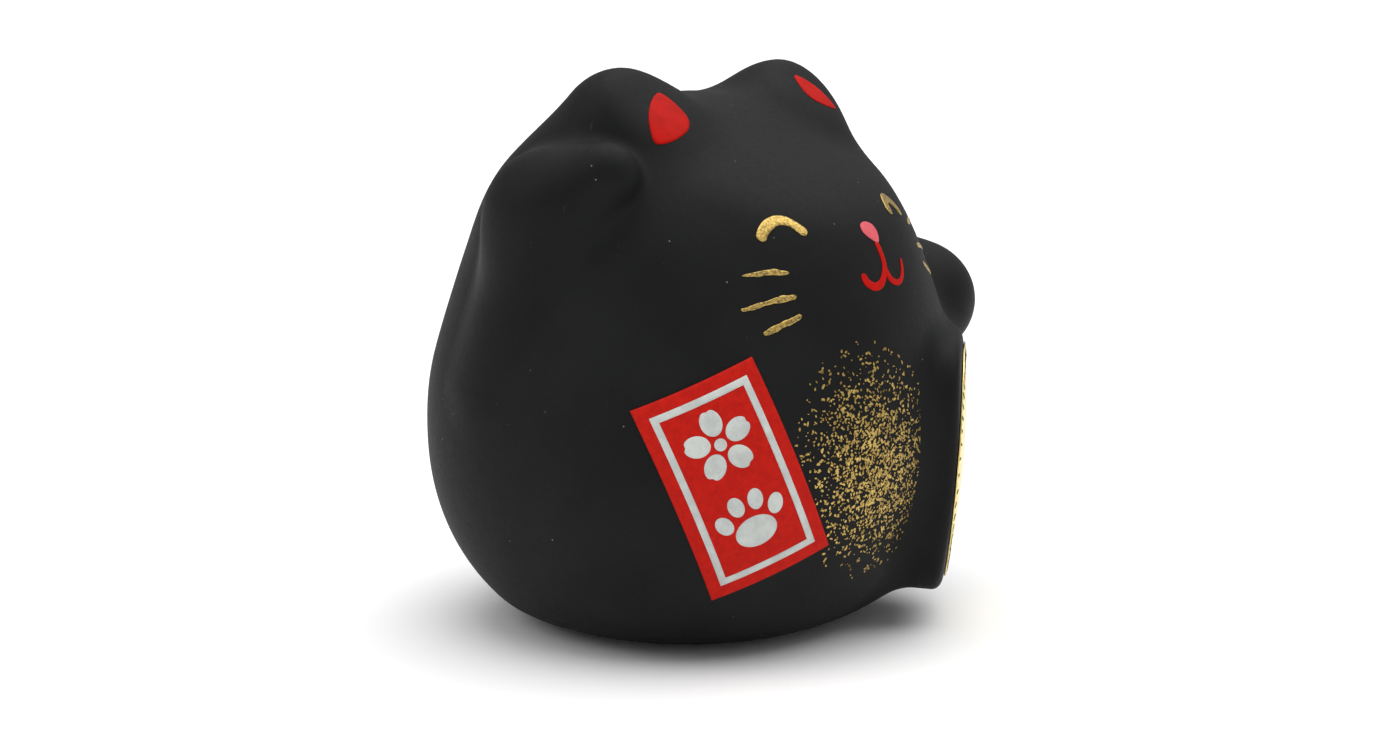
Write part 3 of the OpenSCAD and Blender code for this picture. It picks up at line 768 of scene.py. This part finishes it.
def boxPath(w, l, steps=24):
    corners = np.array(((-w, -l), (w, -l), (w, l), (-w, l), (-w, -l)))
    t = np.linspace(0, 1, steps, endpoint=False)[:, None]
    return np.vstack([a + (b - a) * t for a, b in zip(corners, corners[1:])])


frameW, frameL = label["width"] / 2 - label["inset"], label["length"] / 2 - label["inset"]
outer = boxPath(frameW, frameL)
inner = boxPath(frameW - label["line"], frameL - label["line"])
spots = inner[:, None] + (outer - inner)[:, None] * np.linspace(0, 1, 4)[None, :, None]
item = gather("labelFrame", [film(spots, labelPatch, inkUnder, label["ink"], 0.0, True)])
place(item, "white", "white_print", "label_frame_print")


def blob(middle, half, turnBy, notch=0.0, count=40):
    a = np.linspace(0, 2 * math.pi, count, endpoint=False)
    r = 1 - notch * np.exp(-((np.minimum(a, 2 * math.pi - a)) / 0.28) ** 2)
    x, y = half[0] * r * np.cos(a), half[1] * r * np.sin(a)
    t = math.radians(turnBy)
    return np.stack([middle[0] + x * math.cos(t) - y * math.sin(t),
                     middle[1] + x * math.sin(t) + y * math.cos(t)], -1)


def inkBlob(*shape):
    return patchFilm(blob(*shape), labelPatch, inkUnder, label["ink"])


blossom = {"middle": (0, 5.3), "ring": 2.75, "petals": 5, "petal": (1.6, 1.3), "notch": 0.16, "heart": 0.75}
films = []
for k in range(blossom["petals"]):
    angle = 90 + 360 / blossom["petals"] * k
    x = blossom["middle"][0] + blossom["ring"] * math.cos(math.radians(angle))
    y = blossom["middle"][1] + blossom["ring"] * math.sin(math.radians(angle))
    films.append(inkBlob((x, y), blossom["petal"], angle, blossom["notch"]))
films.append(inkBlob(blossom["middle"], (blossom["heart"],) * 2, 0))
place(gather("labelBlossom", films), "white", "white_print", "label_blossom_print")

pawPrint = {"middle": (0, -5.5), "padDrop": 0.7, "pad": (2.6, 1.9), "toe": (1.3, 0.95),
            "toes": ((-3.3, 1.5, 115), (-1.25, 3.1, 100), (1.25, 3.1, 80), (3.3, 1.5, 65))}
films = [inkBlob((0, pawPrint["middle"][1] - pawPrint["padDrop"]), pawPrint["pad"], 0)]
for x, y, angle in pawPrint["toes"]:
    films.append(inkBlob((x, pawPrint["middle"][1] + y), pawPrint["toe"], angle))
place(gather("labelPaw", films), "white", "white_print", "label_paw_print")

print("gold flecks")
flecks = {"count": 2600, "seed": 12, "spread": (0.5, 0.48), "edge": 1.08, "shift": -0.9, "broad": 1.25,
          "tall": 1.05, "lean": -0.12, "clear": 0.3, "small": 0.12, "large": 0.36, "corners": 6,
          "lift": 0.015, "thick": 0.035}


def sprayFlecks():
    low, high = boxOf("gold_flecks")
    middle, half = (low + high) / 2, (high - low) / 2
    draw = np.random.RandomState(flecks["seed"])
    count = flecks["count"]
    away = draw.normal(0, 1, (count * 2, 2)) * np.array(flecks["spread"])
    away = away[size(away) < flecks["edge"]][:count]
    leaning = away[:, 1] * half[2] * flecks["lean"]
    spots = np.stack([middle[0] + flecks["shift"] + away[:, 0] * half[0] * flecks["broad"] + leaning,
                      middle[2] + away[:, 1] * half[2] * flecks["tall"]], -1)
    seat = onSkin(spots, facePatch, np.zeros(len(spots))) - np.array(labelPatch["from"])
    clearSide = np.abs(seat @ labelPatch["across"]) > label["width"] / 2 + flecks["clear"]
    clearEnd = np.abs(seat @ labelPatch["up"]) > label["length"] / 2 + flecks["clear"]
    spots = spots[clearSide | clearEnd]
    scale = flecks["small"] + (flecks["large"] - flecks["small"]) * draw.power(0.7, len(spots))
    turns, lengths = draw.uniform(0, math.pi, len(spots)), draw.uniform(1.0, 2.2, len(spots))
    corners = flecks["corners"]
    around = np.linspace(0, 2 * math.pi, corners, endpoint=False)[None]
    around = around + draw.uniform(-0.3, 0.3, (len(spots), corners))
    reach = scale[:, None] / 2 * draw.uniform(0.7, 1.2, (len(spots), corners))
    x, y = reach * np.cos(around) * lengths[:, None], reach * np.sin(around)
    edge = spots[:, None] + np.stack([x * np.cos(turns)[:, None] - y * np.sin(turns)[:, None],
                                      x * np.sin(turns)[:, None] + y * np.cos(turns)[:, None]], -1)
    base = onSkin(edge, facePatch, np.full(edge.shape[:2], flecks["lift"]))
    top = onSkin(edge, facePatch, np.full(edge.shape[:2], flecks["lift"] + flecks["thick"]))
    points = np.concatenate([base, top], 1).reshape(-1, 3)
    faces = []
    for k in range(len(spots)):
        s = k * 2 * corners
        faces.append(tuple(s + corners + i for i in range(corners)))
        faces.append(tuple(s + i for i in reversed(range(corners))))
        for i in range(corners):
            n = (i + 1) % corners
            faces.append((s + i, s + n, s + corners + n, s + corners + i))
    item = gather("goldFlecks", [(points, faces)])
    item.data.polygons.foreach_set("use_smooth", np.zeros(len(item.data.polygons), bool))
    return item


place(sprayFlecks(), "fleckGold", "gold_paint", "gold_flecks")

print("coin foil")
foil = {"insetA": 0.9, "insetB": 1.1, "lift": 0.05, "thick": 0.16, "rows": 46, "wide": 30, "ticks": 52,
        "tick": (1.3, 0.32), "tickInset": 1.1, "ripple": 0.6}


def onCoin(a, b, lift):
    a, b = np.asarray(a, float), np.asarray(b, float)
    out = np.asarray(lift) - coinSink(a, b)
    return coinAt + a[..., None] * coinAcross + b[..., None] * coinUp + out[..., None] * coinOut


def foilRipple(a, b):  # the foil's slight unevenness, which the printed dashes follow
    crinkle = 0.05 * np.sin(a * 0.9 + 2 * np.sin(b * 0.35)) * np.cos(b * 0.7)
    return foil["ripple"] * (crinkle + 0.03 * np.sin(b * 2.1))


def coinFilm(a, b, under, over):  # a closed film between two heights over the tablet's face
    points = np.concatenate([onCoin(a, b, under).reshape(-1, 3), onCoin(a, b, over).reshape(-1, 3)])
    return points, filmFaces(*a.shape, False)


def coinFilms():
    halfA, halfB = coin["width"] / 2 - foil["insetA"], coin["height"] / 2 - foil["insetB"]
    t = np.linspace(0.02, math.pi - 0.02, foil["rows"])
    b = -(halfB * np.cos(t))[:, None] * np.ones(foil["wide"])
    a = halfA * (np.sin(t) ** 0.8)[:, None] * np.linspace(-1, 1, foil["wide"])[None]
    surface = foil["lift"] + foil["thick"]
    sheetItem = gather("coinFoil", [coinFilm(a, b, foil["lift"] + 0 * a, surface + foilRipple(a, b) + 0.03)])
    long, broad = foil["tick"][0] / 2, foil["tick"][1] / 2
    base = surface + 0.055
    ticks = []
    for k in range(foil["ticks"]):
        angle = 2 * math.pi * k / foil["ticks"]
        c, s = math.cos(angle), math.sin(angle)
        middleA = (halfA - foil["tickInset"]) * np.sign(c) * abs(c) ** 0.9
        middleB = (halfB - foil["tickInset"]) * np.sign(s) * abs(s) ** 0.9
        u, v = np.meshgrid((-1, -0.3, 0.3, 1), (-1, 0, 1), indexing="ij")
        tickA, tickB = middleA + u * long * c - v * broad * s, middleB + u * long * s + v * broad * c
        rise = base + foilRipple(tickA, tickB)
        ticks.append(coinFilm(tickA, tickB, rise - 0.01, rise + 0.03))
    return sheetItem, gather("foilTicks", ticks)


sheetItem, tickItem = coinFilms()
place(sheetItem, "foil", "gold_foil", "coin_foil")
place(tickItem, "ink", "foil_print", "coin_foil_border")

# ---- floor and light ----
studio = {"floor": (0.95, 0.95, 0.95, 1), "shade": (0.93, 0.93, 0.93, 1), "floorSize": 60.0,
          "floorDrop": 0.02, "world": (1.0, 1.0, 1.0, 1),
          "worldStrength": 0.45, "sky": {"from": (0.2, -0.1, 1.0), "strength": 2.8, "spread": 80},
          "side": {"at": (-0.5, 0.35, 0.55), "size": 0.5, "power": 1.5}}


def addLamp(name, kind, at, energy):
    data = bpy.data.lights.new(name, kind)
    data.energy = energy
    item = bpy.data.objects.new(name, data)
    item.location = at
    item.rotation_mode = "QUATERNION"
    item.rotation_quaternion = (-Vector(at)).to_track_quat("-Z", "Y")
    bpy.context.scene.collection.objects.link(item)
    return data


def setStudio():
    f = Finish("paleFloor")
    colour = f.tint(f.noise(0.02, 2), studio["floor"], studio["shade"])
    half = studio["floorSize"] / 2 / mm
    corners = [(x * half, y * half, -studio["floorDrop"]) for x, y in ((-1, -1), (1, -1), (1, 1), (-1, 1))]
    floor = makeMesh("floor", corners, [(0, 1, 2, 3)])
    paint = f.close({"Roughness": 0.9, "Specular IOR Level": 0.1}, {"Base Color": colour})
    floor.data.materials.append(paint)
    world = bpy.data.worlds.new("studioSky")
    bpy.context.scene.world = world
    world.use_nodes = True
    sky = world.node_tree.nodes["Background"]
    sky.inputs["Color"].default_value = studio["world"]
    sky.inputs["Strength"].default_value = studio["worldStrength"]
    skyLamp = addLamp("skyLight", "SUN", studio["sky"]["from"], studio["sky"]["strength"])
    skyLamp.angle = math.radians(studio["sky"]["spread"])
    sideLamp = addLamp("sideLight", "AREA", studio["side"]["at"], studio["side"]["power"])
    sideLamp.size = studio["side"]["size"]
    bpy.context.scene.view_settings.view_transform = "Standard"


setStudio()
